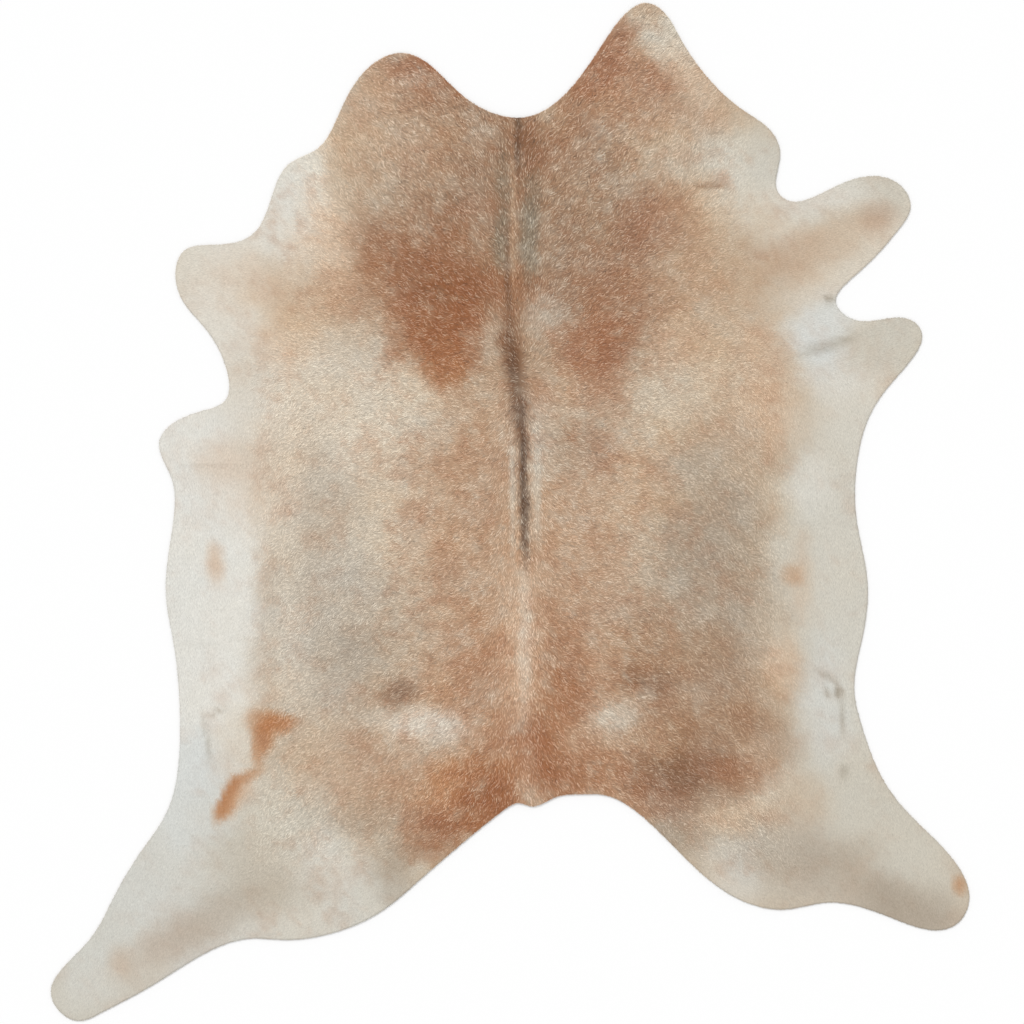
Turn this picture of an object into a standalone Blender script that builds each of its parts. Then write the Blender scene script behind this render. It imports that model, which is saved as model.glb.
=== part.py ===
"""Cowhide rug: one whole hide with its hair on, trimmed round by hand and laid flat, hair side up.

The frame: +Y runs from the tail to the neck, +X to the right as the hair side is seen from above,
and +Z up. The origin is on the floor, under the middle of the hide's length and width.
"""

import math

import bmesh
import bpy
import numpy as np
from mathutils import Vector

MM = 0.001

# Driving dimensions, in metres. The height of the hair is that of the coat as it lies.
HIDE_LENGTH = 2.200
LEATHER_THICKNESS = 0.0020
COAT_AT_SPINE = 0.0034
COAT_AT_BELLY = 0.0018
CREST_HEIGHT = 0.0006
CREST_WIDTH = 0.050
BACK_WIDTH = 1.400
RIM_WIDTH = 0.0045

# How finely the hide is faceted, in metres and degrees.
LONGEST_CHORD = 0.035
MOST_TURN = 7.0
PANEL_SIZE = 0.090
RIM_STEPS = 2

# The trimmed edge, clockwise from the dip of the neck. Each place is (across, along) in
# millimetres: across is measured to the right from the spine, and along from the lower hind foot.
EDGE = {
    "dip of the neck": ((0, 1952),),
    "right neck flap": (
        (87, 1993), (173, 2103), (234, 2182), (273, 2200), (312, 2179), (346, 2124), (415, 2028),
        (487, 1965),
    ),
    "right shoulder": ((536, 1930), (562, 1876), (554, 1800), (584, 1772)),
    "right foreleg": ((714, 1817), (816, 1811), (844, 1761), (818, 1711), (738, 1624)),
    "right armpit": ((682, 1556), (703, 1525), (748, 1512)),
    "right elbow": ((816, 1520), (854, 1509), (869, 1482)),
    "right flank": ((785, 1357), (733, 1236), (727, 1086), (751, 948), (738, 820), (722, 723)),
    "right hind leg": (
        (739, 636), (793, 507), (875, 413), (937, 347), (971, 267), (947, 212), (898, 196),
        (800, 224), (668, 256),
    ),
    "right of the rump": (
        (573, 241), (480, 260), (389, 322), (260, 446), (184, 488), (130, 490), (78, 484),
    ),
    "stub of the tail": ((26, 464), (-2, 471), (-35, 456)),
    "left of the rump": ((-216, 306), (-329, 220), (-502, 175), (-584, 178)),
    "left hind leg": (
        (-668, 153), (-800, 74), (-909, 16), (-954, 0), (-994, 19), (-1014, 67), (-934, 171),
        (-887, 250), (-822, 362),
    ),
    "left flank": ((-762, 455), (-735, 617), (-750, 822), (-766, 939), (-746, 1125)),
    "left elbow": ((-757, 1182), (-780, 1251), (-735, 1301), (-662, 1326)),
    "left armpit": ((-634, 1346), (-665, 1476)),
    "left foreleg": (
        (-725, 1550), (-745, 1612), (-727, 1664), (-679, 1677), (-610, 1684), (-562, 1719),
    ),
    "left shoulder": ((-504, 1848), (-437, 1886), (-392, 1959)),
    "left neck flap": ((-336, 2052), (-260, 2092), (-195, 2066), (-121, 1997)),
}


def smooth_edge(places, step):
    """Points about a step apart on the closed curve that bends evenly through the places."""
    count = len(places)
    after = np.roll(places, -1, axis=0)
    span = np.linalg.norm(after - places, axis=1) ** 0.75
    before = np.roll(span, 1)
    bend = np.zeros((count, count))
    here = np.arange(count)
    bend[here, here - 1] = before
    bend[here, here] = 2 * (before + span)
    bend[here, (here + 1) % count] = span
    slope = (after - places) / span[:, None]
    curvature = np.linalg.solve(bend, 6 * (slope - np.roll(slope, 1, axis=0)))

    curve = []
    for i, (start, end, width) in enumerate(zip(places, after, span)):
        steps = max(2, round(float(np.linalg.norm(end - start)) / step))
        done = (np.arange(steps) / steps * width)[:, None]
        left = width - done
        bent = (curvature[i] * left**3 + curvature[(i + 1) % count] * done**3) / (6 * width)
        from_start = (start / width - curvature[i] * width / 6) * left
        from_end = (end / width - curvature[(i + 1) % count] * width / 6) * done
        curve.extend(bent + from_start + from_end)
    return np.array(curve)


def facet(curve, longest, most_turn):
    """The points of a fine closed curve that are kept, nearer together where it bends more."""
    ahead = np.roll(curve, -1, axis=0) - curve
    heading = np.unwrap(np.arctan2(ahead[:, 1], ahead[:, 0]))
    kept = [0]
    for i in range(1, len(curve)):
        turned = abs(heading[i] - heading[kept[-1]])
        far = math.dist(curve[i], curve[kept[-1]])
        if turned > math.radians(most_turn) or far > longest:
            kept.append(i)
    return curve[kept]


def trimmed_edge():
    """The hide's outline in metres, with the middle of its length and width at the origin."""
    places = np.array([place for stretch in EDGE.values() for place in stretch], float) * MM
    curve = smooth_edge(places, step=2 * MM)
    size = np.ptp(curve, axis=0)
    middle = curve.min(axis=0) + size / 2
    scale = HIDE_LENGTH / size[1]
    return facet((curve - middle) * scale, LONGEST_CHORD, MOST_TURN), -middle[0] * scale


def ease(value):
    """Goes smoothly from 0 to 1 as the value does."""
    value = min(max(value, 0.0), 1.0)
    return value * value * (3 - 2 * value)


def hide_height(across):
    """Height of the top of the coat at this distance from the spine."""
    away = ease(abs(across) / (BACK_WIDTH / 2))
    crest = CREST_HEIGHT * (1 - ease(abs(across) / CREST_WIDTH))
    return LEATHER_THICKNESS + COAT_AT_SPINE + (COAT_AT_BELLY - COAT_AT_SPINE) * away + crest


def cut_into_panels(mesh, low, high):
    """Cuts the hide's top face along a grid, so that it can follow the coat's height."""
    for axis in (0, 1):
        lines = round((high[axis] - low[axis]) / PANEL_SIZE)
        for line in range(1, lines):
            place = Vector((0, 0, 0))
            place[axis] = low[axis] + (high[axis] - low[axis]) * line / lines
            normal = Vector((0, 0, 0))
            normal[axis] = 1
            top = {face for face in mesh.faces if face.normal.z > 0.99}
            around = {edge for face in top for edge in face.edges}
            corners = {corner for face in top for corner in face.verts}
            bmesh.ops.bisect_plane(
                mesh, geom=[*top, *around, *corners], dist=0.1 * MM, plane_co=place, plane_no=normal
            )


def hide_mesh():
    """One closed sheet: flat below, and above it the coat, which rounds down to the edge."""
    outline, spine = trimmed_edge()
    full = LEATHER_THICKNESS + COAT_AT_SPINE
    mesh = bmesh.new()
    below = mesh.faces.new([mesh.verts.new((x, y, 0)) for x, y in outline])
    mesh.normal_update()
    if below.normal.z > 0:
        below.normal_flip()
    made = bmesh.ops.extrude_face_region(mesh, geom=[below], use_keep_orig=True)["geom"]
    top = next(item for item in made if isinstance(item, bmesh.types.BMFace))
    bmesh.ops.translate(mesh, verts=top.verts, vec=(0, 0, full))
    bmesh.ops.recalc_face_normals(mesh, faces=mesh.faces)
    bmesh.ops.bevel(
        mesh, geom=list(top.edges), offset=RIM_WIDTH, offset_type="OFFSET", affect="EDGES",
        segments=RIM_STEPS, profile=0.5, material=-1, clamp_overlap=True,
    )
    mesh.normal_update()
    cut_into_panels(mesh, outline.min(axis=0), outline.max(axis=0))
    for corner in mesh.verts:
        corner.co.z *= hide_height(corner.co.x - spine) / full
    return mesh


def hair_on_hide():
    """The coat's colour in the middle of the back, roan tan, as short dull hair."""
    material = bpy.data.materials.new("hair_on_hide")
    material.use_nodes = True
    shader = material.node_tree.nodes["Principled BSDF"]
    shader.inputs["Base Color"].default_value = (0.50, 0.36, 0.25, 1)
    shader.inputs["Roughness"].default_value = 0.85
    shader.inputs["Metallic"].default_value = 0.0
    return material


for old in list(bpy.data.objects):
    bpy.data.objects.remove(old, do_unlink=True)

sheet = hide_mesh()
data = bpy.data.meshes.new("hide")
sheet.to_mesh(data)
sheet.free()
data.shade_smooth()
data.set_sharp_from_angle(angle=math.radians(35))
data.materials.append(hair_on_hide())
bpy.context.scene.collection.objects.link(bpy.data.objects.new("hide", data))
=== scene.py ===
import math

import bmesh
import bpy
import numpy as np
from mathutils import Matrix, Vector
from mathutils.kdtree import KDTree


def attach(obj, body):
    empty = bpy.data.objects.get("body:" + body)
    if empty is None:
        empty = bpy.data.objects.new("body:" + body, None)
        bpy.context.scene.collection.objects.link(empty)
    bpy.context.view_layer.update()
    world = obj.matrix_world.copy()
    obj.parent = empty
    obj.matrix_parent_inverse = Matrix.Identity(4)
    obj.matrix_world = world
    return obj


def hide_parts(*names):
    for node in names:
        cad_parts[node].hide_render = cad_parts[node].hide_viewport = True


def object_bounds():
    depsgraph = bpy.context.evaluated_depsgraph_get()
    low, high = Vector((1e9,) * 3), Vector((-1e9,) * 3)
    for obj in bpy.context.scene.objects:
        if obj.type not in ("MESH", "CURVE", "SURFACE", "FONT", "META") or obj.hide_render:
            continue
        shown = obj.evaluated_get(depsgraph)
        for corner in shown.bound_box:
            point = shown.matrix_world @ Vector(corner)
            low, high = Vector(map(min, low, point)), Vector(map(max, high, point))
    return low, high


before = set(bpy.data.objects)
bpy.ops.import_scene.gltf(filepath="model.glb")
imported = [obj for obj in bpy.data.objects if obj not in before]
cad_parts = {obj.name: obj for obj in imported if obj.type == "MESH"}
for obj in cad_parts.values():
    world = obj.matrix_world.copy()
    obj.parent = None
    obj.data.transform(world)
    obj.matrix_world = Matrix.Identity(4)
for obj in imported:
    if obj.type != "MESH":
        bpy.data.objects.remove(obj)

cad_low, cad_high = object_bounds()


# The skin
# One whole hide, tanned with the hair on and trimmed round by hand. It is a sheet of leather
# about 2 mm thick that lies flat on the floor, with its suede flesh side down.

MM = 0.001
CM = 0.01
SPINE_X = 0.0214
LEATHER_THICKNESS = 2.0 * MM
LEATHER_INSET = 0.8 * MM
EDGE_STEP = 7.0 * MM
LEATHER_PANEL = 28 * MM
EDGE_ROUNDING = 0.4 * MM
CURVE_POINTS = 16
SUEDE_DARK = (0.44, 0.36, 0.27, 1)
SUEDE_PALE = (0.66, 0.59, 0.49, 1)
VEIN_SHADE = 0.86
NAP_HEIGHT = 0.4 * MM

# The map that a sheet's finish is kept on, in shares of the map: how large its top and its
# underside are laid there, and how far across they start.
TOP_ON_MAP = (0.88, 0.005)
UNDERSIDE_ON_MAP = (0.19, 0.82)
MAP_MARGIN = 0.005

# Soft folds left from when the hide was stored: across from the spine and along from the lower
# hind foot, half length and half width, all in cm, turn in degrees, and lift of the leather in mm.
FOLDS = (
    (-66, 120.7, 11, 0.7, 1, 0.9),
    (-69, 82.0, 6, 0.6, 0, 0.8),
    (-59, 83.2, 5, 0.6, -2, 0.6),
)


def eased(value, low, high):
    """Goes smoothly from 0 to 1 as the value goes from low to high."""
    share = np.clip((value - low) / (high - low), 0, 1)
    return share * share * (3 - 2 * share)


def hide_edge():
    """The trimmed edge, anticlockwise: the corners of the solid's underside, smoothed between."""
    solid = bmesh.new()
    solid.from_mesh(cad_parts["hide"].data)
    bmesh.ops.remove_doubles(solid, verts=solid.verts, dist=0.01 * MM)
    above = [face for face in solid.faces if face.normal.z > -0.9]
    bmesh.ops.delete(solid, geom=above, context="FACES")
    corner = next(edge for edge in solid.edges if edge.is_boundary).verts[0]
    walked = []
    last = None
    while corner not in walked[:1]:
        walked.append(corner)
        rims = [edge for edge in corner.link_edges if edge.is_boundary and edge is not last]
        last = rims[0]
        corner = last.other_vert(corner)
    places = np.array([corner.co.xy for corner in walked])
    solid.free()
    ahead = np.roll(places, -1, axis=0)
    if (places[:, 0] * ahead[:, 1] - ahead[:, 0] * places[:, 1]).sum() < 0:
        places = places[::-1]
        ahead = np.roll(places, -1, axis=0)

    span = np.linalg.norm(ahead - places, axis=1)[:, None]
    slope = (ahead - places) / span
    before = np.roll(span, 1, axis=0)
    lean = (span * np.roll(slope, 1, axis=0) + before * slope) / (span + before)
    lean_ahead = np.roll(lean, -1, axis=0)
    curve = []
    for share in np.arange(0, 1, 1 / CURVE_POINTS):
        left = 1 - share
        from_here = left * left * ((1 + 2 * share) * places + share * span * lean)
        to_next = share * share * ((3 - 2 * share) * ahead - left * span * lean_ahead)
        curve.append(from_here + to_next)
    return np.stack(curve, axis=1).reshape(-1, 2)


def evenly(curve, step):
    """The same closed curve with its points a step apart."""
    closed = np.vstack([curve, curve[:1]])
    walked = np.concatenate([[0], np.cumsum(np.linalg.norm(np.diff(closed, axis=0), axis=1))])
    stops = np.linspace(0, walked[-1], round(walked[-1] / step), endpoint=False)
    return np.column_stack([np.interp(stops, walked, closed[:, axis]) for axis in (0, 1)])


def inward(curve):
    """The direction into the hide at each point of an anticlockwise edge."""
    along = np.roll(curve, -1, axis=0) - np.roll(curve, 1, axis=0)
    along /= np.linalg.norm(along, axis=1)[:, None]
    return np.column_stack([-along[:, 1], along[:, 0]])


def fold_lift(across, along):
    """Height in metres that the old folds lift the hide, at places in cm."""
    lift = np.zeros(len(across))
    for place, up, half_length, half_width, turn, rise in FOLDS:
        c, s = math.cos(math.radians(turn)), math.sin(math.radians(turn))
        u, v = across - place, along - up
        run = np.abs(u * c + v * s) / half_length
        off = (v * c - u * s) / half_width
        lift += rise * MM * np.exp(-off * off) * (1 - eased(run, 0.5, 1.1))
    return lift


def hide_places(points):
    """Places in cm across from the spine and along from the lower hind foot."""
    return (points[:, 0] - SPINE_X) / CM, (points[:, 1] - cad_low.y) / CM


def cut_across(sheet, faces, axis, low, high, lines):
    """Cuts flat faces into even bands across an axis: in the middle, and then each half again."""
    if lines < 2:
        return faces
    middle = low + (high - low) * (lines // 2) / lines
    place = Vector((0, 0, 0))
    place[axis] = middle
    normal = Vector((0, 0, 0))
    normal[axis] = 1
    edges = {edge for face in faces for edge in face.edges}
    corners = {corner for face in faces for corner in face.verts}
    cut = bmesh.ops.bisect_plane(
        sheet, geom=[*faces, *edges, *corners], dist=0.01 * MM, plane_co=place, plane_no=normal
    )
    halves = [], []
    for item in cut["geom"]:
        if isinstance(item, bmesh.types.BMFace):
            beyond = item.calc_center_median()[axis] > middle
            halves[int(beyond)].append(item)
    before = cut_across(sheet, halves[0], axis, low, middle, lines // 2)
    after = cut_across(sheet, halves[1], axis, middle, high, lines - lines // 2)
    return before + after


def flat_sheet(outline, panel, rims):
    """A closed sheet 1 m thick on the outline, with narrow rims inside its edge on top."""
    sheet = bmesh.new()
    below = sheet.faces.new([sheet.verts.new((x, y, 0)) for x, y in outline])
    sheet.normal_update()
    if below.normal.z > 0:
        below.normal_flip()
    made = bmesh.ops.extrude_face_region(sheet, geom=[below], use_keep_orig=True)["geom"]
    top = next(item for item in made if isinstance(item, bmesh.types.BMFace))
    bmesh.ops.translate(sheet, verts=top.verts, vec=(0, 0, 1))
    bmesh.ops.recalc_face_normals(sheet, faces=sheet.faces)
    for width in rims:
        bmesh.ops.inset_region(sheet, faces=[top], thickness=width, use_even_offset=True)
    for face in (top, below):
        panels = [face]
        for axis in (0, 1):
            low, high = outline[:, axis].min(), outline[:, axis].max()
            panels = cut_across(sheet, panels, axis, low, high, math.ceil((high - low) / panel))
    return sheet


def bake_map(sheet):
    """Lays the top of a sheet large and its underside small on one map, side by side."""
    corners = np.array([corner.co for corner in sheet.verts])
    low, high = corners.min(axis=0), corners.max(axis=0)
    tall = high[1] - low[1]
    layer = sheet.loops.layers.uv.new("OFBake")
    for face in sheet.faces:
        face.normal_update()
        scale, place = TOP_ON_MAP if face.normal.z > 0 else UNDERSIDE_ON_MAP
        for loop in face.loops:
            u = place + (loop.vert.co.x - low[0]) / tall * scale
            v = MAP_MARGIN + (loop.vert.co.y - low[1]) / tall * scale
            loop[layer].uv = (u, v)


def as_piece(name, sheet, material):
    """Makes the object of a finished mesh, in place."""
    data = bpy.data.meshes.new(name)
    sheet.to_mesh(data)
    sheet.free()
    data.materials.append(material)
    piece = bpy.data.objects.new(name, data)
    bpy.context.scene.collection.objects.link(piece)
    return piece


def principled(name, roughness, specular):
    """A new material with its shader, and its nodes and links to build on."""
    material = bpy.data.materials.new(name)
    material.use_nodes = True
    nodes, links = material.node_tree.nodes, material.node_tree.links
    shader = nodes["Principled BSDF"]
    shader.inputs["Roughness"].default_value = roughness
    shader.inputs["Specular IOR Level"].default_value = specular
    return material, nodes, links, shader


def raise_bump(nodes, links, shader, height, strength, distance):
    """Lets a height that changes over the surface show as fine relief."""
    raised = nodes.new("ShaderNodeBump")
    raised.inputs["Strength"].default_value = strength
    raised.inputs["Distance"].default_value = distance
    links.new(height, raised.inputs["Height"])
    links.new(raised.outputs["Normal"], shader.inputs["Normal"])


def suede_leather():
    """The flesh side and the cut edge: pale buff suede, napped, with blotches and faint veins."""
    material, nodes, links, shader = principled("suede_leather", roughness=0.92, specular=0.15)
    place = nodes.new("ShaderNodeTexCoord").outputs["Object"]
    blotches = nodes.new("ShaderNodeTexNoise")
    blotches.inputs["Scale"].default_value = 9
    blotches.inputs["Detail"].default_value = 5
    links.new(place, blotches.inputs["Vector"])
    tone = nodes.new("ShaderNodeValToRGB")
    tone.color_ramp.elements[0].position = 0.32
    tone.color_ramp.elements[0].color = SUEDE_DARK
    tone.color_ramp.elements[1].position = 0.70
    tone.color_ramp.elements[1].color = SUEDE_PALE
    links.new(blotches.outputs["Fac"], tone.inputs["Fac"])

    veins = nodes.new("ShaderNodeTexVoronoi")
    veins.feature = "DISTANCE_TO_EDGE"
    veins.inputs["Scale"].default_value = 14
    links.new(place, veins.inputs["Vector"])
    vein = nodes.new("ShaderNodeMapRange")
    vein.inputs["From Max"].default_value = 0.06
    vein.inputs["To Min"].default_value = VEIN_SHADE
    vein.inputs["To Max"].default_value = 1.0
    links.new(veins.outputs["Distance"], vein.inputs["Value"])
    veined = nodes.new("ShaderNodeMix")
    veined.data_type = "RGBA"
    veined.blend_type = "MULTIPLY"
    veined.inputs["Factor"].default_value = 1.0
    links.new(tone.outputs["Color"], veined.inputs["A"])
    links.new(vein.outputs["Result"], veined.inputs["B"])
    links.new(veined.outputs["Result"], shader.inputs["Base Color"])

    nap = nodes.new("ShaderNodeTexNoise")
    nap.inputs["Scale"].default_value = 900
    nap.inputs["Detail"].default_value = 3
    links.new(place, nap.inputs["Vector"])
    raise_bump(nodes, links, shader, nap.outputs["Fac"], strength=0.5, distance=NAP_HEIGHT)
    return material


edge = hide_edge()
leather_edge = evenly(edge, EDGE_STEP)
leather_edge = leather_edge + LEATHER_INSET * inward(leather_edge)
leather = flat_sheet(leather_edge, LEATHER_PANEL, rims=(EDGE_ROUNDING,))
bake_map(leather)
corners = np.array([corner.co for corner in leather.verts])
lifts = fold_lift(*hide_places(corners))
for corner, lift in zip(leather.verts, lifts):
    corner.co.z = corner.co.z * LEATHER_THICKNESS + lift
hide_skin = as_piece("hide_skin", leather, suede_leather())
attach(hide_skin, "root")
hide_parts("hide")


# The undercoat
# The short dense hair next to the skin, thicker along the back than at the belly. It is a mat that
# covers the leather out to the trimmed edge, where it rounds down, and carries the hide's colours.

COAT_AT_SPINE = 2.3 * MM
COAT_AT_BELLY = 1.2 * MM
CREST_HEIGHT = 0.5 * MM
CREST_WIDTH = 5
BACK_WIDTH = 70
UNDERCOAT_INSET = 0.4 * MM
UNDERCOAT_RIMS = (1.2 * MM, 2.2 * MM)
UNDERCOAT_ROUNDING = 3.0 * MM
UNDERCOAT_PANEL = 11 * MM
UNDERCOAT_GAP = 0.05 * MM
DEPTH_AT_EDGE = 0.25
LUMP_HEIGHT = 0.12 * MM
LUMP_SIZE = 3.0
STRAND_LENGTH = 5 * MM
STRAND_WIDTH = 0.5 * MM

# The hair's tones, as they look in even light, in sRGB.
TONES = {
    "white": (225, 223, 216),
    "cool_white": (215, 217, 214),
    "cream": (222, 216, 204),
    "stone": (205, 200, 188),
    "oat": (198, 180, 158),
    "sand": (194, 168, 141),
    "fawn": (184, 152, 125),
    "peach": (210, 180, 152),
    "grey": (192, 181, 166),
    "ash": (166, 151, 134),
    "slate": (138, 127, 110),
    "brown": (152, 119, 93),
    "rust": (154, 103, 70),
    "red_brown": (161, 113, 84),
    "umber": (126, 91, 67),
    "dark": (92, 70, 55),
    "orange": (183, 130, 89),
}

# The hide's markings, laid over each other in this order. Each is a soft round patch: across from
# the spine and along from the lower hind foot, half width and half length, all in cm, turn in
# degrees, tone, strength and softness.
GROUND = (
    (-76, 95, 22, 48, 0, "white", 1.0, 0.28),
    (75, 95, 20, 46, 0, "stone", 1.0, 0.25),
    (72, 98, 9, 46, 0, "white", 0.25, 0.6),
    (-43, 90, 13, 38, 0, "grey", 0.95, 0.45),
    (42, 98, 13, 27, 0, "ash", 0.68, 0.45),
    (1, 98, 21, 36, 0, "fawn", 0.80, 0.6),
    (-25, 108, 7, 11, 0, "cream", 0.20, 0.7),
    (3, 62, 31, 24, 0, "fawn", 0.88, 0.45),
    (38, 66, 16, 19, 0, "brown", 0.50, 0.5),
    (-60, 165, 20, 30, 0, "cream", 0.85, 0.45),
    (72, 165, 20, 34, 0, "cream", 0.75, 0.45),
    (2, 168, 34, 28, 0, "brown", 0.66, 0.50),
    (2, 205, 36, 14, 0, "fawn", 0.65, 0.5),
    (0, 184, 18, 18, 0, "brown", 0.45, 0.7),
    (-6, 199, 18, 6, 0, "brown", 0.40, 0.6),
    (-38, 134, 20, 13, 0, "cream", 0.45, 0.6),
    (-33, 124, 9, 8, 0, "cream", 0.25, 0.7),
)
HIND_LEGS = (
    (-72, 22, 40, 24, 38, "stone", 0.95, 0.30),
    (-38, 23, 17, 10, 12, "stone", 0.95, 0.45),
    (-84, 34, 14, 34, 38, "cool_white", 0.60, 0.5),
    (-71, 49, 11, 15, 0, "cool_white", 0.90, 0.35),
    (-52, 36, 20, 14, 0, "stone", 0.50, 0.6),
    (-95, 8, 12, 12, 0, "stone", 0.60, 0.6),
    (-40, 22, 12, 5, 12, "white", 0.35, 0.7),
    (-60, 20, 9, 5, 20, "white", 0.40, 0.8),
    (-42, 33, 8, 6, 0, "white", 0.45, 0.7),
    (-92, 11, 9, 8, 35, "cool_white", 0.50, 0.7),
    (-60, 58, 5, 9, 0, "cream", 0.50, 0.7),
    (68, 36, 34, 20, -30, "stone", 0.95, 0.30),
    (60, 31, 22, 11, -18, "grey", 0.50, 0.5),
    (88, 44, 10, 20, -35, "stone", 0.80, 0.5),
    (-31, 45, 6, 6, 20, "ash", 0.40, 0.7),
    (-27, 35, 5, 4, 30, "ash", 0.55, 0.7),
    (-75, 17, 11, 4, 32, "fawn", 0.26, 0.8),
    (-86, 12.5, 2.2, 3, 20, "orange", 0.16, 0.8),
    (-66, 22, 12, 5, 28, "ash", 0.34, 0.8),
    (-54, 32, 9, 7, 0, "ash", 0.20, 0.8),
    (33, 41, 6, 6, 30, "ash", 0.75, 0.7),
    (46, 44, 7, 4, 0, "sand", 0.62, 0.8),
    (45, 30, 6, 6, 0, "white", 0.45, 0.8),
    (62, 35, 15, 6, -10, "ash", 0.38, 0.8),
    (60, 24, 12, 3, 0, "sand", 0.12, 0.8),
    (84, 24, 11, 6, -14, "ash", 0.62, 0.6),
    (95.3, 29.5, 1.5, 1.8, 0, "orange", 0.55, 0.8),
)
NECK = (
    (-16, 205, 9, 2.6, -42, "rust", 0.60, 0.6),
    (-24, 206, 8, 4, 0, "red_brown", 0.40, 0.7),
    (-38, 203, 2.6, 10, -22, "stone", 0.60, 0.6),
    (-40, 189, 5, 5, -30, "sand", 0.55, 0.8),
    (-33, 197, 5, 4, 0, "red_brown", 0.25, 0.8),
    (-21, 201, 7, 4, 0, "red_brown", 0.30, 0.8),
    (17, 207, 4.5, 10, -32, "red_brown", 0.65, 0.5),
    (22, 204, 8, 5, 0, "red_brown", 0.35, 0.8),
    (30, 203, 4, 5, 0, "red_brown", 0.45, 0.7),
    (31, 213, 5, 9, 25, "stone", 0.80, 0.5),
    (37, 203, 3, 9, 34, "peach", 0.40, 0.7),
    (-20, 207, 6, 4, 0, "red_brown", 0.45, 0.8),
    (27, 219, 5, 4, 0, "sand", 0.65, 0.7),
    (39, 192.5, 6, 4.5, 0, "red_brown", 0.22, 0.7),
    (15, 193, 6, 5, 0, "red_brown", 0.20, 0.8),
    (28, 188, 6, 6, 0, "sand", 0.45, 0.8),
    (27, 195, 6, 4, 0, "red_brown", 0.30, 0.8),
    (-23, 188, 11, 6, 0, "fawn", 0.50, 0.8),
    (0, 190, 6, 6, 0, "umber", 0.18, 0.7),
    (5, 196, 4, 4, 0, "sand", 0.40, 0.8),
    (5, 186, 7, 3.5, 0, "red_brown", 0.25, 0.8),
    (36, 185.5, 7, 4.5, 0, "stone", 0.45, 0.7),
    (50, 185, 10, 10, 0, "stone", 0.90, 0.45),
    (41, 180.3, 3.2, 0.8, 0, "umber", 0.60, 0.4),
)
SHOULDERS = (
    (-50, 180, 9, 14, -12, "cream", 0.90, 0.35),
    (-54, 176, 7, 12, -12, "white", 0.50, 0.6),
    (-63, 165, 6, 5, 0, "white", 0.45, 0.8),
    (-42, 169, 6, 8, 0, "peach", 0.55, 0.8),
    (-51, 147, 6, 5, 0, "peach", 0.50, 0.8),
    (-14, 171, 6, 5, 0, "rust", 0.40, 0.8),
    (-28, 166, 8, 7, -20, "rust", 0.50, 0.6),
    (-21, 162, 9, 8, 0, "rust", 0.38, 0.8),
    (-9, 175, 3, 5, 0, "grey", 0.30, 0.8),
    (30, 173, 8, 7, 0, "red_brown", 0.42, 0.7),
    (25, 166, 7, 6, 0, "red_brown", 0.30, 0.8),
    (14, 160, 5, 6, 0, "red_brown", 0.25, 0.8),
    (44, 156, 15, 11, 0, "sand", 0.60, 0.6),
    (38, 159, 5, 4, 0, "fawn", 0.45, 0.8),
    (50, 180, 7, 8, 0, "cream", 0.40, 0.7),
    (39, 176, 5, 7, 0, "sand", 0.40, 0.8),
    (65, 178, 11, 5, 4, "cream", 0.85, 0.6),
    (-46, 155, 9, 8, 0, "sand", 0.60, 0.6),
    (-36, 158, 8, 5, 0, "red_brown", 0.22, 0.8),
    (-58, 159, 10, 6, 0, "peach", 0.30, 0.7),
    (-17, 152, 10, 12, 0, "rust", 0.78, 0.35),
    (-15.5, 147, 6, 9.5, 0, "rust", 0.50, 0.4),
    (-15, 142, 5, 4, 0, "orange", 0.35, 0.6),
    (-7, 158, 9, 5, 8, "rust", 0.66, 0.6),
    (-16, 158, 9, 4, 0, "umber", 0.25, 0.8),
    (2, 157, 5, 3.5, 0, "red_brown", 0.45, 0.7),
    (-26, 152, 4, 6, 0, "red_brown", 0.35, 0.8),
    (4.5, 134, 3.0, 4, 0, "red_brown", 0.45, 0.8),
    (9, 143, 4, 6, 0, "sand", 0.35, 0.8),
    (11, 181, 6, 5, 0, "sand", 0.30, 0.8),
    (16, 146, 7.5, 8, 0, "red_brown", 0.62, 0.45),
    (20, 145, 4, 6, 0, "rust", 0.35, 0.6),
    (22, 156, 8, 6, 0, "red_brown", 0.32, 0.8),
    (17, 137, 6, 5, 0, "red_brown", 0.40, 0.8),
    (4.5, 151, 4, 5, 0, "stone", 0.45, 0.6),
    (-9.5, 147, 3, 5, 0, "red_brown", 0.40, 0.8),
    (-5.5, 147, 2.0, 4, 0, "stone", 0.40, 0.7),
)
FORELEGS = (
    (-69, 162, 8, 8, 0, "cream", 0.40, 0.6),
    (-66, 150, 7, 9, 0, "white", 0.50, 0.6),
    (72, 178, 15, 6, 8, "stone", 0.85, 0.4),
    (66, 178, 9, 4, 4, "white", 0.60, 0.7),
    (66, 168, 14, 5, 28, "sand", 0.38, 0.6),
    (77, 174, 4, 3, 20, "red_brown", 0.22, 0.7),
    (60, 166, 7, 4, 30, "fawn", 0.30, 0.8),
    (66, 149, 6.5, 8, -15, "cool_white", 0.80, 0.5),
    (69, 142, 8, 7, 0, "cool_white", 0.45, 0.6),
    # Slate strokes: skin wrinkles where the hair is thin, partly the grey skin showing and partly
    # painted shade in their creases.
    (67.5, 146.2, 7.0, 1.1, 17, "slate", 0.30, 0.8),
    (71.2, 147.5, 2.6, 0.6, 17, "slate", 0.40, 0.8),
    (80, 147, 10, 7, 10, "stone", 0.90, 0.5),
    (66.6, 156, 1.0, 0.8, 0, "slate", 0.50, 0.7),
)
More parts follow.
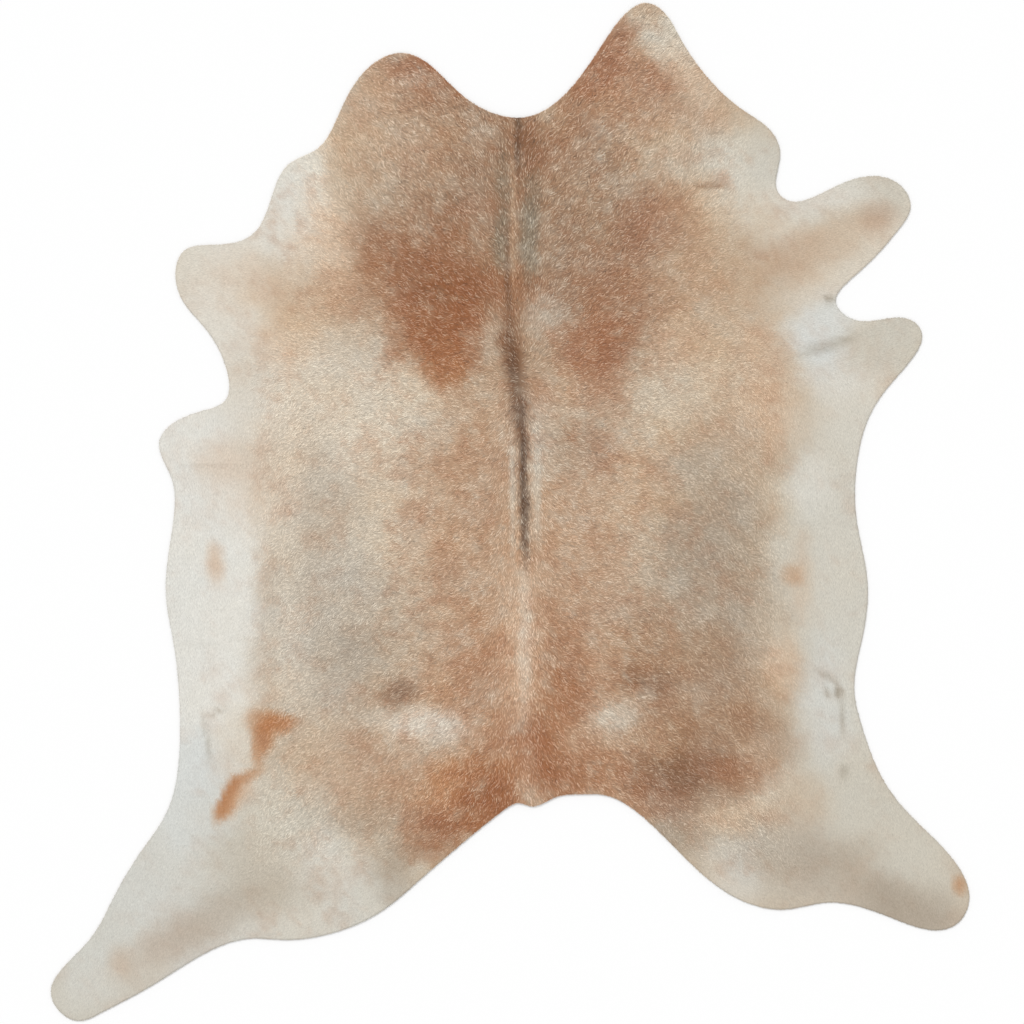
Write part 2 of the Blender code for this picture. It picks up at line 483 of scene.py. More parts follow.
BACK_AND_FLANKS = (
    (34, 136, 9, 7, 0, "stone", 0.30, 0.7),
    (33, 147, 5, 5, 0, "peach", 0.35, 0.8),
    (33, 87, 6, 6, 0, "sand", 0.35, 0.8),
    (57, 129, 4, 4, 0, "cream", 0.35, 0.8),
    (51, 147, 4, 5, 0, "peach", 0.35, 0.8),
    (53, 134, 5, 8, 0, "peach", 0.45, 0.7),
    (48, 127, 10, 6, 0, "fawn", 0.30, 0.8),
    (8, 129, 7, 4, 0, "grey", 0.40, 0.7),
    (11, 124, 7, 5, 0, "ash", 0.40, 0.8),
    (18, 122, 4, 4, 0, "red_brown", 0.35, 0.8),
    (-8, 124, 8, 8, 0, "fawn", 0.40, 0.8),
    (-22, 109, 4, 3, 0, "red_brown", 0.25, 0.8),
    (-19, 120, 6, 4, 0, "red_brown", 0.18, 0.8),
    (27, 117, 6, 6, 0, "fawn", 0.45, 0.8),
    (27, 78, 6, 11, 0, "brown", 0.36, 0.8),
    (15, 100, 6, 7, 0, "fawn", 0.50, 0.8),
    (-13, 110, 4.5, 6, 0, "fawn", 0.50, 0.8),
    (-32, 78, 8, 13, 0, "ash", 0.30, 0.8),
    (46, 104, 8, 10, 0, "ash", 0.30, 0.6),
    (-40, 80, 11, 5, 0, "ash", 0.28, 0.7),
    (-35, 104, 5, 4, 0, "stone", 0.30, 0.8),
    (-56, 118, 9, 11, 0, "peach", 0.25, 0.7),
    (-59, 130, 8, 8, 0, "white", 0.50, 0.8),
    (-52, 112, 5, 11, 0, "cream", 0.42, 0.7),
    (-50, 82, 4, 15, 0, "cream", 0.38, 0.7),
    (-65, 121, 6, 5, 0, "peach", 0.30, 0.7),
    (-66, 99, 1.8, 4, 0, "peach", 0.50, 0.7),
    (63, 116, 4, 6, 0, "white", 0.45, 0.7),
    (56.5, 77, 4, 6, 0, "peach", 0.50, 0.7),
    (61, 96, 2.5, 9, 0, "peach", 0.30, 0.7),
    (59, 97, 2.2, 2, 0, "orange", 0.35, 0.8),
    (66.5, 68, 5, 13, 0, "cool_white", 0.48, 0.6),
    # Slate strokes: skin wrinkles at the flank folds where the hair is thin, partly the grey skin
    # showing and partly painted shade in their creases.
    (69.4, 66.5, 0.5, 4.0, 2, "slate", 0.32, 0.8),
    (68.9, 71.2, 0.9, 1.4, 12, "slate", 0.55, 0.6),
    (66.5, 70.9, 0.7, 0.9, 0, "slate", 0.32, 0.7),
    (66.4, 74.6, 2.4, 0.6, -24, "slate", 0.28, 0.8),
    (69.9, 53.6, 0.9, 1.6, -10, "slate", 0.28, 0.7),
    (-67.8, 62.6, 0.45, 3.4, 4, "slate", 0.32, 0.8),
    (-65.6, 66.8, 1.8, 0.5, 28, "slate", 0.28, 0.8),
    (-66.9, 57.2, 0.45, 2.6, 6, "slate", 0.22, 0.8),
)
RUMP = (
    (-0.4, 80, 4.0, 18, 0, "peach", 0.65, 0.7),
    (1.2, 80, 1.4, 19, 0, "cream", 0.40, 0.7),
    (9, 79, 5, 10, 0, "rust", 0.32, 0.7),
    (10, 70, 5.5, 6, 0, "rust", 0.45, 0.6),
    (5, 57, 4.5, 8, 0, "rust", 0.70, 0.7),
    (-9, 80, 6, 6, 0, "red_brown", 0.25, 0.8),
    (-8, 68, 7, 8, 0, "red_brown", 0.20, 0.8),
    (-26, 71, 4.2, 2.4, 10, "umber", 0.45, 0.7),
    (-28, 66, 7, 2.6, 0, "stone", 0.30, 0.7),
    (-20, 61, 9, 5, 0, "stone", 0.35, 0.7),
    (-20, 64.3, 9.0, 3.2, -4, "white", 0.60, 0.7),
    (26, 73, 5, 2.8, -20, "umber", 0.40, 0.7),
    (27, 70.6, 2.4, 1.4, -20, "stone", 0.30, 0.7),
    (28, 60, 6, 4, 0, "sand", 0.60, 0.7),
    (20, 65.5, 6.2, 3.8, 18, "stone", 0.62, 0.6),
    (-11, 49, 11, 8, 28, "orange", 0.62, 0.5),
    (-8, 46, 9, 4.5, 38, "rust", 0.76, 0.6),
    (-36, 45, 12, 4, 0, "ash", 0.30, 0.8),
    (-20, 40, 6, 4, 34, "rust", 0.55, 0.6),
    (-20, 45, 5, 4, 0, "red_brown", 0.35, 0.8),
    (0, 60, 6, 5, 0, "red_brown", 0.40, 0.8),
    (-34, 54, 10, 10, 0, "fawn", 0.50, 0.7),
    (-15, 39, 5, 4, 34, "rust", 0.40, 0.8),
    (-46, 61, 5, 6, 0, "sand", 0.40, 0.8),
    (-27, 28, 4, 5, 20, "ash", 0.40, 0.8),
    (-8, 51, 5, 6, 0, "rust", 0.50, 0.8),
    (57, 48, 7, 6, 0, "sand", 0.45, 0.8),
    (2.0, 53, 2.4, 5, 0, "cream", 0.35, 0.8),
    (12, 52.5, 12, 5, 0, "rust", 0.55, 0.7),
    (44, 60, 14, 7, 0, "brown", 0.55, 0.5),
    (51, 57, 5, 4, 0, "fawn", 0.40, 0.8),
    (40, 52.5, 10, 5.5, 0, "brown", 0.72, 0.5),
    (32, 52, 8, 5.5, 0, "umber", 0.60, 0.6),
    (29, 48.5, 7, 4, -25, "red_brown", 0.35, 0.7),
    (45, 54, 8, 3.0, 0, "red_brown", 0.35, 0.7),
)
RUST_MARKS = (
    (-55.0, 65.0, 4.0, 2.6, -8, "orange", 0.60, 0.7),
    (-52.0, 64.4, 3.4, 1.8, 12, "orange", 0.70, 0.6),
    (-55.2, 61.2, 2.2, 5.0, -10, "orange", 0.74, 0.5),
    (-62.9, 47.8, 1.8, 5.6, -28, "orange", 0.88, 0.40),
    (-60.5, 48.5, 1.6, 4.6, -28, "peach", 0.60, 0.7),
    (-58.6, 53.2, 4.0, 1.2, 24, "orange", 0.55, 0.7),
)
SPINE_LINE = (
    (-0.6, 191, 0.8, 9, 0, "dark", 0.60, 0.6),
    (1.6, 189, 1.6, 6, 0, "umber", 0.35, 0.8),
    (-3.7, 176, 1.4, 11, 0, "slate", 0.62, 0.7),
    (-3.9, 167, 1.5, 5, 0, "slate", 0.45, 0.7),
    (2.1, 170, 1.9, 11, 0, "slate", 0.80, 0.7),
    (-1.2, 153, 2.0, 8, 0, "brown", 0.50, 0.7),
    (-2.3, 158, 0.6, 12, 1, "dark", 0.40, 0.7),
    (-1.3, 172, 0.7, 13, 0, "sand", 0.50, 0.7),
    (-1.6, 115, 0.7, 14, 0, "stone", 0.60, 0.7),
    (3.6, 118, 0.9, 13, 0, "stone", 0.60, 0.7),
    (4.2, 124, 2.4, 6, 0, "stone", 0.50, 0.7),
    (-2.0, 145, 2.2, 5, 8, "umber", 0.72, 0.6),
    (-0.4, 136, 2.0, 9.5, 7, "umber", 0.66, 0.6),
    (-0.6, 137, 1.0, 9.5, 9, "dark", 0.40, 0.6),
    (0.8, 115, 1.0, 15.5, 1, "dark", 0.88, 0.45),
)
MARKINGS = (
    GROUND + HIND_LEGS + NECK + SHOULDERS + FORELEGS + BACK_AND_FLANKS + RUMP + RUST_MARKS
    + SPINE_LINE
)

# The random clouds that move and roughen the outlines of the markings: their sizes in cm, and how
# much the wide and the narrow ones count.
WIDE_WANDER, NARROW_WANDER, RAGGED = 14, 6, 2.4
WIDE_SHARE, NARROW_SHARE = 0.9, 0.6

# The random clouds that break up the colours: size in cm and strength.
MOTTLE = (5.5, 0.17)
FRECKLES = (1.9, 0.21)
SPECKS = (0.9, 0.18)
WARMTH = (8, 2.0)

# How much weaker the clouds are on the belly, on the hind legs and, for freckles, off the back, and
# how much stronger their pale side is than their red one.
BELLY_CALM, LEG_CALM, SIDE_CALM = 0.6, 0.25, 0.45
PALE_SIDE = 1.15

# Painted shade: the hair is painted a little darker along the cut edge, over this width, for the
# shade at its rim.
EDGE_PAINTED_SHADE = 0.12
EDGE_SHADE_WIDTH = 4 * MM

DEEPENING = 1.15
UNDERCOAT_BRIGHTNESS = 1.05


def linear(tone):
    """An sRGB tone from 0 to 255 as the linear colour that the shader takes."""
    share = np.asarray(tone, float) / 255
    return np.where(share < 0.04045, share / 12.92, ((share + 0.055) / 1.055) ** 2.4)


def clouds(across, along, size, seed):
    """Smooth random clouds, mostly between -1 and 1, whose lumps are about size cm wide."""
    table = np.random.default_rng(seed).uniform(-1, 1, (64, 64))
    total = np.zeros(len(across))
    strengths = (1.0, 0.55, 0.30)
    for octave, strength in enumerate(strengths):
        u = across / size * 2**octave + 11.3 * octave + 200
        v = along / size * 2**octave + 7.9 * octave + 200
        i, j = np.floor(u).astype(int), np.floor(v).astype(int)
        right, up = eased(u - i, 0, 1), eased(v - j, 0, 1)
        lower = table[i % 64, j % 64] * (1 - right) + table[(i + 1) % 64, j % 64] * right
        upper = table[i % 64, (j + 1) % 64] * (1 - right) + table[(i + 1) % 64, (j + 1) % 64] * right
        total += strength * (lower * (1 - up) + upper * up)
    return total / sum(strengths) * 1.6


def coat_colour_and_shade(across, along, from_edge):
    """The hair's colour with painted shade at the cut edge, as the shader takes it, at places in cm
    and this far in from the edge.
    """
    side = np.abs(across)
    broad = WIDE_SHARE * clouds(across, along, WIDE_WANDER, 1)
    broad += NARROW_SHARE * clouds(across, along, NARROW_WANDER, 2)
    broad_up = WIDE_SHARE * clouds(across, along, WIDE_WANDER, 3)
    broad_up += NARROW_SHARE * clouds(across, along, NARROW_WANDER, 4)
    fine = clouds(across, along, RAGGED, 8)
    fine_up = clouds(across, along, RAGGED, 9)
    colour = np.tile(np.array(TONES["oat"], float), (len(across), 1))

    def lay(tone, amount):
        """Lays a tone over the colour so far, as strongly as amount says at each place."""
        colour[:] += (np.array(TONES[tone], float) - colour) * amount[:, None]

    for place, up, half_width, half_length, turn, tone, strength, softness in MARKINGS:
        c, s = math.cos(math.radians(turn)), math.sin(math.radians(turn))
        small = min(half_width, half_length)
        wander, ragged = min(small / 4, 2.0), min(max(small / 5, 0.05), 0.8)
        u = across + wander * broad + ragged * fine - place
        v = along + wander * broad_up + ragged * fine_up - up
        reach = np.hypot((u * c + v * s) / half_width, (v * c - u * s) / half_length)
        lay(tone, strength * eased(-reach, -1 - softness, -1 + softness))

    at_belly = eased(side, 50, 64) * BELLY_CALM
    on_legs = eased(-along, -50, -30) * eased(side, 15, 40) * LEG_CALM
    roan = (1 - at_belly) * (1 - on_legs)
    freckles = FRECKLES[1] * clouds(across, along, FRECKLES[0], 6)
    freckles += SPECKS[1] * clouds(across, along, SPECKS[0], 10)
    mottle = MOTTLE[1] * clouds(across, along, MOTTLE[0], 5)
    mottle += freckles * (1 - SIDE_CALM * eased(side, 22, 40))
    lay("red_brown", np.clip(mottle, 0, 1) * roan)
    lay("stone", np.clip(-PALE_SIDE * mottle, 0, 1) * roan)
    warmth = WARMTH[1] * clouds(across, along, WARMTH[0], 7) * roan
    colour[:, 0] += warmth
    colour[:, 2] -= warmth
    # painted shade: the colour is darkened within a few mm of the cut edge
    shade = 1 - EDGE_PAINTED_SHADE * eased(-from_edge, -EDGE_SHADE_WIDTH, 0)
    return linear(np.clip(colour, 0, 255)) ** DEEPENING * shade[:, None]


def undercoat_height(across, along, from_edge):
    """Height of the undercoat over the floor, at places in cm and this far in from the edge."""
    away = eased(np.abs(across), 0, BACK_WIDTH)
    crest = CREST_HEIGHT * (1 - eased(np.abs(across), 0, CREST_WIDTH))
    depth = COAT_AT_SPINE + (COAT_AT_BELLY - COAT_AT_SPINE) * away + crest
    out = 1 - np.clip(from_edge / UNDERCOAT_ROUNDING, 0, 1)
    lumps = LUMP_HEIGHT * clouds(across, along, LUMP_SIZE, 21) * (1 - out)
    rounded = DEPTH_AT_EDGE + (1 - DEPTH_AT_EDGE) * np.sqrt(1 - out * out)
    return LEATHER_THICKNESS + depth * rounded + lumps + fold_lift(across, along)


# Where the hair gets short and fine, in cm: this far out from the spine, sooner on the shoulders,
# and down the hind legs.
BELLY_FROM, SHOULDER_SOONER, BELLY_BLEND = 48, 9, 18
SHOULDER_ALONG = (138, 160)
HIND_LEG_ALONG = (25, 45)


def fineness(across, along):
    """How short and fine the hair is: 0 on the back, and 1 on the belly, shoulders and legs."""
    side = np.abs(across) - BELLY_FROM + SHOULDER_SOONER * eased(along, *SHOULDER_ALONG)
    return np.maximum(eased(side, 0, BELLY_BLEND), 1 - eased(along, *HIND_LEG_ALONG))


# How the hair lies, in degrees turned from tailwards to outwards: 90 is straight outwards and
# 180 headwards. The columns are at these distances from the spine, and the rows at these places
# along the hide, in cm.
FROM_SPINE = (2, 8, 20, 35, 50, 62, 78)
HAIR_LIE = {
    10: (20, 30, 35, 40, 38, 35, 22),
    35: (20, 45, 55, 58, 42, 35, 20),
    50: (10, 35, 52, 60, 45, 22, 15),
    65: (6, 48, 60, 58, 50, 20, 5),
    90: (4, 60, 78, 60, 42, 20, 0),
    115: (3, 72, 82, 72, 42, 10, 0),
    135: (30, 90, 95, 80, 50, 15, 20),
    145: (150, 105, 100, 85, 95, 110, 115),
    155: (170, 125, 118, 95, 92, 100, 95),
    170: (170, 132, 128, 118, 105, 100, 92),
    185: (168, 135, 130, 140, 140, 110, 100),
    205: (150, 135, 120, 120, 120, 110, 100),
}


def hair_lie(across, along):
    """The way the hair lies at each place, in radians turned outwards from tailwards."""
    rows = np.array(list(HAIR_LIE.values()), float)
    columns = np.array([np.interp(along, list(HAIR_LIE), column) for column in rows.T])
    side = np.clip(np.abs(across), FROM_SPINE[0], FROM_SPINE[-1])
    column = np.clip(np.searchsorted(FROM_SPINE, side) - 1, 0, len(FROM_SPINE) - 2)
    near, far = np.take(FROM_SPINE, column), np.take(FROM_SPINE, column + 1)
    share = (side - near) / (far - near)
    pick = np.arange(len(side))
    return np.radians(columns[column, pick] * (1 - share) + columns[column + 1, pick] * share)


def heading_of(across, lie):
    """The way a hair points on the floor when it lies like this on its side of the spine."""
    outwards = np.where(across < 0, -1.0, 1.0)
    return np.stack([outwards * np.sin(lie), -np.cos(lie)], axis=1)


def hair_tone():
    """A group that darkens and lightens a colour from hair to hair, by a noise that draws them."""
    group = bpy.data.node_groups.new("hair_tone", "ShaderNodeTree")
    group.interface.new_socket("Color", in_out="INPUT", socket_type="NodeSocketColor")
    for name in ("Hairs", "Lowest", "Highest", "Darkest", "Palest"):
        group.interface.new_socket(name, in_out="INPUT", socket_type="NodeSocketFloat")
    group.interface.new_socket("Color", in_out="OUTPUT", socket_type="NodeSocketColor")
    nodes, links = group.nodes, group.links
    given = nodes.new("NodeGroupInput").outputs
    depth = nodes.new("ShaderNodeMapRange")
    links.new(given["Hairs"], depth.inputs["Value"])
    links.new(given["Lowest"], depth.inputs["From Min"])
    links.new(given["Highest"], depth.inputs["From Max"])
    links.new(given["Darkest"], depth.inputs["To Min"])
    links.new(given["Palest"], depth.inputs["To Max"])
    drawn = nodes.new("ShaderNodeMix")
    drawn.data_type = "RGBA"
    drawn.blend_type = "MULTIPLY"
    drawn.inputs["Factor"].default_value = 1.0
    links.new(given["Color"], drawn.inputs["A"])
    links.new(depth.outputs["Result"], drawn.inputs["B"])
    links.new(drawn.outputs["Result"], nodes.new("NodeGroupOutput").inputs["Color"])
    return group


def tone_hairs(nodes, links, shader, colour, hairs, values):
    """Gives a shader its colour, drawn hair by hair with the group's own values."""
    toned = nodes.new("ShaderNodeGroup")
    toned.node_tree = hair_tone_group
    for name, value in values.items():
        toned.inputs[name].default_value = value
    links.new(colour, toned.inputs["Color"])
    links.new(hairs, toned.inputs["Hairs"])
    links.new(toned.outputs["Color"], shader.inputs["Base Color"])


hair_tone_group = hair_tone()

# The undercoat's strands are drawn along these directions, in degrees turned left from headwards,
# each where the hair lies nearest to it.
UNDERCOAT_LIES = (0, 45, 90, 135)
LIE_SHARPNESS = 8
UNDERCOAT_TONE = {"Lowest": 0.35, "Highest": 0.65, "Darkest": 0.72, "Palest": 1.10}


def undercoat_hair():
    """The undercoat: its colour from the hide's markings, broken up into fine short hairs."""
    material, nodes, links, shader = principled("undercoat_hair", roughness=0.8, specular=0.12)
    place = nodes.new("ShaderNodeTexCoord").outputs["Object"]
    colour = nodes.new("ShaderNodeVertexColor")
    colour.layer_name = "coat_colour_and_shade"
    lies = nodes.new("ShaderNodeAttribute")
    lies.attribute_name = "lie_of_hair"
    shares = nodes.new("ShaderNodeSeparateColor")
    links.new(lies.outputs["Color"], shares.inputs["Color"])
    hairs = None
    for turn, share in zip(UNDERCOAT_LIES, (*shares.outputs, lies.outputs["Alpha"])):
        laid = nodes.new("ShaderNodeMapping")
        laid.vector_type = "TEXTURE"
        laid.inputs["Rotation"].default_value = (0, 0, math.radians(turn))
        laid.inputs["Scale"].default_value = (STRAND_WIDTH, STRAND_LENGTH, STRAND_LENGTH)
        links.new(place, laid.inputs["Vector"])
        strands = nodes.new("ShaderNodeTexNoise")
        strands.inputs["Scale"].default_value = 1
        strands.inputs["Detail"].default_value = 2
        links.new(laid.outputs["Vector"], strands.inputs["Vector"])
        part = nodes.new("ShaderNodeMath")
        part.operation = "MULTIPLY_ADD" if hairs else "MULTIPLY"
        links.new(strands.outputs["Fac"], part.inputs[0])
        links.new(share, part.inputs[1])
        if hairs:
            links.new(hairs, part.inputs[2])
        hairs = part.outputs["Value"]
    tone_hairs(nodes, links, shader, colour.outputs["Color"], hairs, UNDERCOAT_TONE)
    raise_bump(nodes, links, shader, hairs, strength=0.7, distance=STRAND_WIDTH)
    return material


def paint(mesh, name, colours):
    """Gives each point of a mesh its own colour, or other numbers in place of a colour."""
    layer = mesh.color_attributes.new(name, "FLOAT_COLOR", "POINT")
    full = np.ones((len(colours), 4), np.float32)
    full[:, :colours.shape[1]] = colours
    layer.data.foreach_set("color", full.ravel())


FINE_STEP = 2 * MM
fine_edge = evenly(edge, FINE_STEP)
into_hide = inward(fine_edge)
edge_tree = KDTree(len(fine_edge))
for number, (x, y) in enumerate(fine_edge):
    edge_tree.insert((x, y, 0), number)
edge_tree.balance()


def nearest_edge(points):
    """How far each place is inside the trimmed edge, less than 0 outside, and the way inwards."""
    found = np.array([edge_tree.find((x, y, 0))[1] for x, y in points])
    way = into_hide[found]
    away = points - fine_edge[found]
    inside = np.where((away * way).sum(axis=1) > 0, 1.0, -1.0)
    return np.linalg.norm(away, axis=1) * inside, way


mat_edge = evenly(edge, EDGE_STEP)
mat_edge = mat_edge + UNDERCOAT_INSET * inward(mat_edge)
mat = flat_sheet(mat_edge, UNDERCOAT_PANEL, rims=UNDERCOAT_RIMS)
bake_map(mat)
corners = np.array([corner.co for corner in mat.verts])
across, along = hide_places(corners)
from_edge, _ = nearest_edge(corners[:, :2])
tops = undercoat_height(across, along, from_edge)
bottoms = LEATHER_THICKNESS + UNDERCOAT_GAP + fold_lift(across, along)
for corner, top, bottom in zip(mat.verts, tops, bottoms):
    corner.co.z = top if corner.co.z > 0.5 else bottom
undercoat = as_piece("undercoat", mat, undercoat_hair())
undercoat.data.shade_smooth()
hue = UNDERCOAT_BRIGHTNESS * coat_colour_and_shade(across, along, from_edge)
paint(undercoat.data, "coat_colour_and_shade", hue)
heading = heading_of(across, hair_lie(across, along))
turned = np.degrees(np.arctan2(-heading[:, 0], heading[:, 1]))[:, None] - np.array(UNDERCOAT_LIES)
nearness = np.cos(np.radians(turned)) ** LIE_SHARPNESS
paint(undercoat.data, "lie_of_hair", nearness / nearness.sum(axis=1)[:, None])
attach(undercoat, "root")
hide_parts("hide")


# The coat
# The long outer hair, in fine tufts that grow out of the undercoat and lie over each other. It is
# parted at the whorl between the shoulders: behind it the hair lies outwards and tailwards, in
# front of it outwards and headwards, and on the legs it lies towards the feet.

TUFTS_APART = 3.50 * MM
LONG_HAIR = 12.0 * MM
BELLY_HAIR = 9.0 * MM
HAIR_WIDTH = 1.7 * MM
HAIR_DEPTH = 0.22 * MM
WIDEST_AT = 0.35
ROOT_DEPTH = 0.18 * MM
LENGTH_RANGE = (0.72, 1.28)
WIDTH_RANGE = (0.7, 1.35)
RISE_RANGE = (0.4, 1.6)

# How the hair lies and stands up, in degrees: locks about this many cm wide turn aside together,
# and each tuft turns a little more on its own.
LOCK_TURN, LOCK_SIZE = 24, 1.5
STRAY_TURN = 19
RISE, BELLY_RISE = 4.6, 2.2

# Along the cut edge the hair starts just inside it, and turns outwards and down over it.
BARE_EDGE = 0.6 * MM
AT_EDGE = (1.5 * MM, 9 * MM)
TURN_OUT = 0.9
TUCK = 10
OVERHANG = 1.5 * MM
SHORTEST_HAIR = 2.5 * MM
FRINGE_DEPTH = (0.8 * MM, 3.5 * MM)

# The least that a hair counts as pointing at the edge, when it is kept from hanging over too far.
LEAST_POINTING = 0.05

# Fine hair is narrower and flatter than the back's, and differs less from tuft to tuft, and its
# painted shade from root to tip is weaker, by these shares.
FINE_NARROWER, FINE_FLATTER, FINE_ALIKE, FINE_SHADE_WEAKER = 0.25, 0.5, 0.8, 0.7

# Darker and paler tufts are mixed, less on the flanks and more on the neck. The palest are halfway
# between a pale hair and the place's own colour, made brighter.
SALT_AND_PEPPER = 0.31
FLANK_LESS, NECK_MORE = 0.25, 0.3
PALE_HAIR = (236, 226, 208)
OWN_COLOUR_LIFT = 1.7
BACK_BRIGHTNESS = 1.37
BELLY_BRIGHTNESS = 1.05

# Painted shade and light along each tuft: how much brighter it is painted at its root, tip and two
# sides, less than 0 where it is darker, for the shade at the root and on the hanging sides and the
# light on the tip.
PAINTED_SHADE_ROOT_TIP_SIDES = (-0.18, 0.06, -0.03, -0.03)
PALEST_HAIR = 0.95
STRAND_RELIEF = 0.2 * MM
COAT_TONE = {"Lowest": 0.3, "Highest": 0.7, "Darkest": 0.86, "Palest": 1.08}

# Each tuft has its own cell of the map: the places there of its root, tip and sides, and how often
# the noise that draws its strands repeats across the map, along the tufts and across them.
TUFT_ON_MAP = ((0.1, 0.5), (0.9, 0.5), (0.4, 0.9), (0.4, 0.1))
STRANDS_ON_MAP = (300, 2200, 1)


def coat_hair():
    """The outer hair: its colour with painted shade at the root and painted light at the tip, with
    the dull gloss of clean hair.
    """
    material, nodes, links, shader = principled("coat_hair", roughness=0.55, specular=0.30)
    colour = nodes.new("ShaderNodeVertexColor")
    colour.layer_name = "coat_colour_and_shade"
    tuft = nodes.new("ShaderNodeUVMap")
    tuft.uv_map = "OFBake"
    drawn = nodes.new("ShaderNodeMapping")
    drawn.inputs["Scale"].default_value = STRANDS_ON_MAP
    links.new(tuft.outputs["UV"], drawn.inputs["Vector"])
    hairs = nodes.new("ShaderNodeTexNoise")
    hairs.inputs["Scale"].default_value = 1
    hairs.inputs["Detail"].default_value = 2
    links.new(drawn.outputs["Vector"], hairs.inputs["Vector"])
    tone_hairs(nodes, links, shader, colour.outputs["Color"], hairs.outputs["Fac"], COAT_TONE)
    raise_bump(nodes, links, shader, hairs.outputs["Fac"], strength=0.5, distance=STRAND_RELIEF)
    return material


def tuft_mesh(name, corners, colours):
    """One mesh of many tufts. A tuft has a root, a tip and two sides that hang from its ridge."""
    count = len(corners)
    root, tip, left, right = range(4)
    tuft = np.array([(root, tip, left), (root, right, tip), (root, left, right), (tip, right, left)])
    faces = (tuft[None] + len(tuft) * np.arange(count)[:, None, None]).reshape(-1, 3)
    mesh = bpy.data.meshes.new(name)
    mesh.from_pydata(corners.reshape(-1, 3), [], faces)
    paint(mesh, "coat_colour_and_shade", colours.reshape(-1, 3))
    cells = math.ceil(math.sqrt(count))
    cell = np.stack([np.arange(count) % cells, np.arange(count) // cells], axis=1)
    spots = np.array(TUFT_ON_MAP)[tuft.ravel()]
    layer = mesh.uv_layers.new(name="OFBake")
    layer.data.foreach_set("uv", ((cell[:, None] + spots[None]) / cells).ravel())
    return mesh


draw = np.random.default_rng(7)
columns = np.arange(cad_low.x, cad_high.x, TUFTS_APART)
rows = np.arange(cad_low.y, cad_high.y, TUFTS_APART)
roots = np.stack(np.meshgrid(columns, rows), axis=-1).reshape(-1, 2)
roots += draw.uniform(-0.5, 0.5, roots.shape) * TUFTS_APART
fringe = np.repeat(fine_edge, 2, axis=0)
fringe_depth = draw.uniform(*FRINGE_DEPTH, len(fringe))[:, None]
fringe += draw.uniform(-1, 1, fringe.shape) * MM + np.repeat(into_hide, 2, axis=0) * fringe_depth
roots = np.vstack([roots, fringe])
from_edge, way = nearest_edge(roots)
grown = from_edge > BARE_EDGE
roots, from_edge, way = roots[grown], from_edge[grown], way[grown]
across, along = hide_places(roots)
count = len(roots)

lie = hair_lie(across, along)
lie += np.radians(LOCK_TURN) * clouds(across, along, LOCK_SIZE, 31)
lie += np.radians(STRAY_TURN) * draw.normal(size=count)
heading = heading_of(across, lie)
at_edge = 1 - eased(from_edge, *AT_EDGE)
heading -= TURN_OUT * at_edge[:, None] * way
heading /= np.linalg.norm(heading, axis=1)[:, None]
fine_hair = fineness(across, along)
length = LONG_HAIR + (BELLY_HAIR - LONG_HAIR) * fine_hair
length *= draw.uniform(*LENGTH_RANGE, count)
width = HAIR_WIDTH * (1 - FINE_NARROWER * fine_hair) * draw.uniform(*WIDTH_RANGE, count)
rise = (RISE + (BELLY_RISE - RISE) * fine_hair) * draw.uniform(*RISE_RANGE, count)
rise = np.radians(rise - TUCK * at_edge**2)
towards_edge = np.maximum(-(heading * way).sum(axis=1), LEAST_POINTING)
room = (from_edge + OVERHANG * draw.uniform(0.0, 1.0, count)) / towards_edge
length = np.minimum(length, np.maximum(room, SHORTEST_HAIR))

height = undercoat_height(across, along, from_edge) - ROOT_DEPTH
root = np.column_stack([roots, height])
reach = np.column_stack([heading * np.cos(rise)[:, None], np.sin(rise)]) * length[:, None]
sideways = np.column_stack([-heading[:, 1], heading[:, 0], np.zeros(count)]) * width[:, None] / 2
belly = root + WIDEST_AT * reach
belly[:, 2] -= HAIR_DEPTH * (1 - FINE_FLATTER * fine_hair)
corners = np.stack([root, root + reach, belly + sideways, belly - sideways], axis=1)

hue = coat_colour_and_shade(across, along, from_edge)
hue *= (BACK_BRIGHTNESS + (BELLY_BRIGHTNESS - BACK_BRIGHTNESS) * fine_hair)[:, None]
from_middle = eased(np.abs(across), 22, 42)
spread = SALT_AND_PEPPER * (1 - FINE_ALIKE * fine_hair) * (1 - FLANK_LESS * from_middle)
spread *= 1 + NECK_MORE * eased(along, 150, 180) * (1 - from_middle)
mixed = (spread * np.clip(draw.normal(size=count), -2, 2))[:, None]
paler = (linear(PALE_HAIR) + OWN_COLOUR_LIFT * hue) / 2
hue = np.where(mixed > 0, hue + (paler - hue) * mixed, hue * np.exp(mixed))
# painted shade and light: each tuft is darker at its root and sides and paler at its tip
painted_shade_along_tuft = 1 + np.outer(1 - FINE_SHADE_WEAKER * fine_hair, PAINTED_SHADE_ROOT_TIP_SIDES)
colours = np.clip(hue[:, None, :] * painted_shade_along_tuft[:, :, None], 0, PALEST_HAIR)

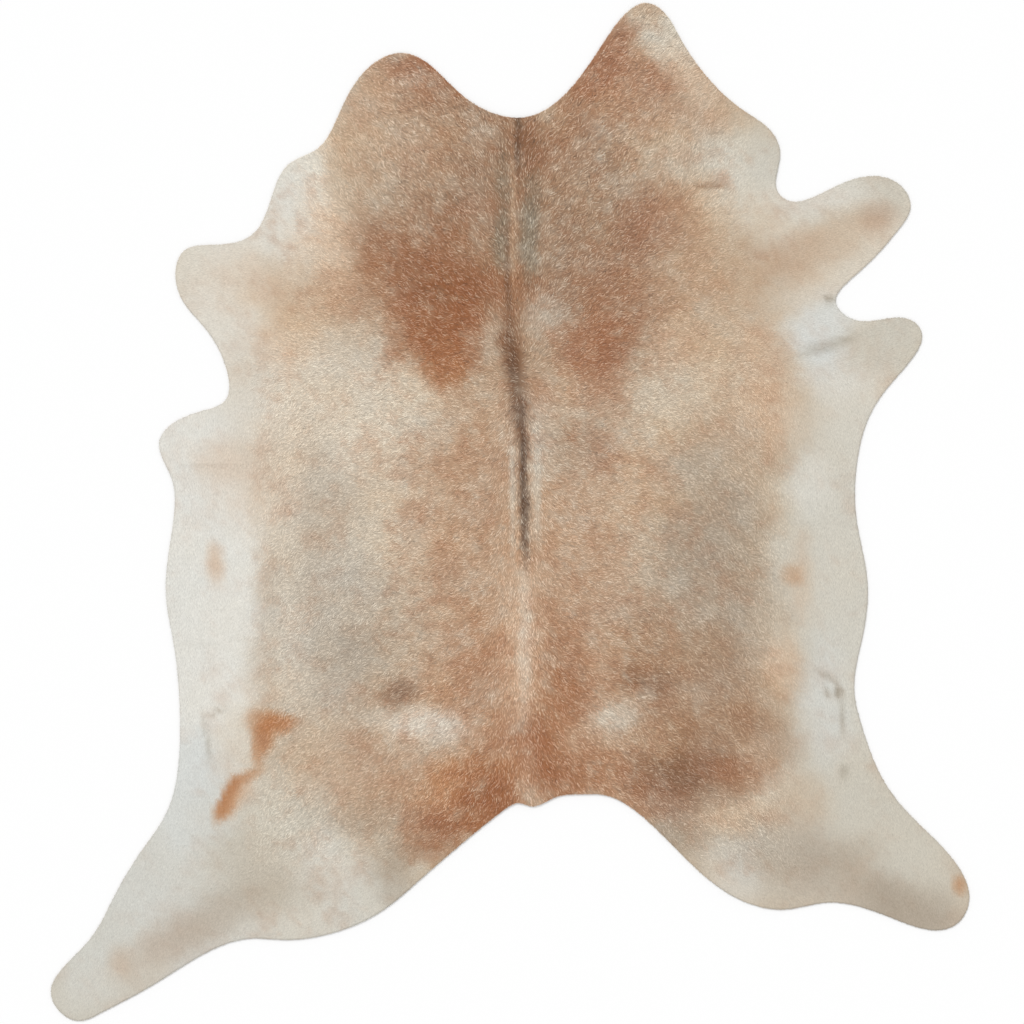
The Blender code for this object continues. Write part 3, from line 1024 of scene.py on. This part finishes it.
hair = coat_hair()
strips = ("coat_left_flank", "coat_left_back", "coat_spine", "coat_right_back", "coat_right_flank")
order = np.argsort(across, kind="stable")
for name, part in zip(strips, np.array_split(order, len(strips))):
    mesh = tuft_mesh(name, corners[part], colours[part])
    mesh.materials.append(hair)
    strip = bpy.data.objects.new(name, mesh)
    bpy.context.scene.collection.objects.link(strip)
    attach(strip, "root")
    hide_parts("hide")


# Floor, light and camera
# A plain pale floor under even studio light, seen from straight above as in a product picture.

FLOOR_SIZE = 60.0
FLOOR_DROP = 0.2 * MM
FLOOR_TONE = (0.9, 0.9, 0.9, 1)
WORLD_LIGHT = 0.80
SOFTBOX_LIGHT = 1.32
SOFTBOX_SPREAD = 25
SOFTBOX_TURN = (-38, -22, 0)
PICTURE_HEIGHT = 2.2151
PICTURE_MIDDLE_X = 0.0041
SENSOR, LENS = 36.0, 85.0

ground = bmesh.new()
bmesh.ops.create_grid(ground, x_segments=1, y_segments=1, size=FLOOR_SIZE / 2)
bmesh.ops.translate(ground, verts=ground.verts, vec=(0, 0, -FLOOR_DROP))
paper, _, _, paper_shader = principled("pale_floor", roughness=1.0, specular=0.0)
paper_shader.inputs["Base Color"].default_value = FLOOR_TONE
floor = as_piece("floor", ground, paper)

world = bpy.data.worlds.new("even_light")
world.use_nodes = True
world.node_tree.nodes["Background"].inputs["Color"].default_value = (1, 1, 1, 1)
world.node_tree.nodes["Background"].inputs["Strength"].default_value = WORLD_LIGHT
bpy.context.scene.world = world

softbox = bpy.data.lights.new("softbox", "SUN")
softbox.energy = SOFTBOX_LIGHT
softbox.angle = math.radians(SOFTBOX_SPREAD)
softbox_object = bpy.data.objects.new("softbox", softbox)
softbox_object.rotation_euler = [math.radians(turn) for turn in SOFTBOX_TURN]
bpy.context.scene.collection.objects.link(softbox_object)

lens = bpy.data.cameras.new("camera")
lens.sensor_width = SENSOR
lens.lens = LENS
lens.clip_end = 100
camera = bpy.data.objects.new("camera", lens)
camera.location = (PICTURE_MIDDLE_X, 0, PICTURE_HEIGHT * LENS / SENSOR)
bpy.context.scene.collection.objects.link(camera)
bpy.context.scene.camera = camera
bpy.context.scene.view_settings.view_transform = "Standard"
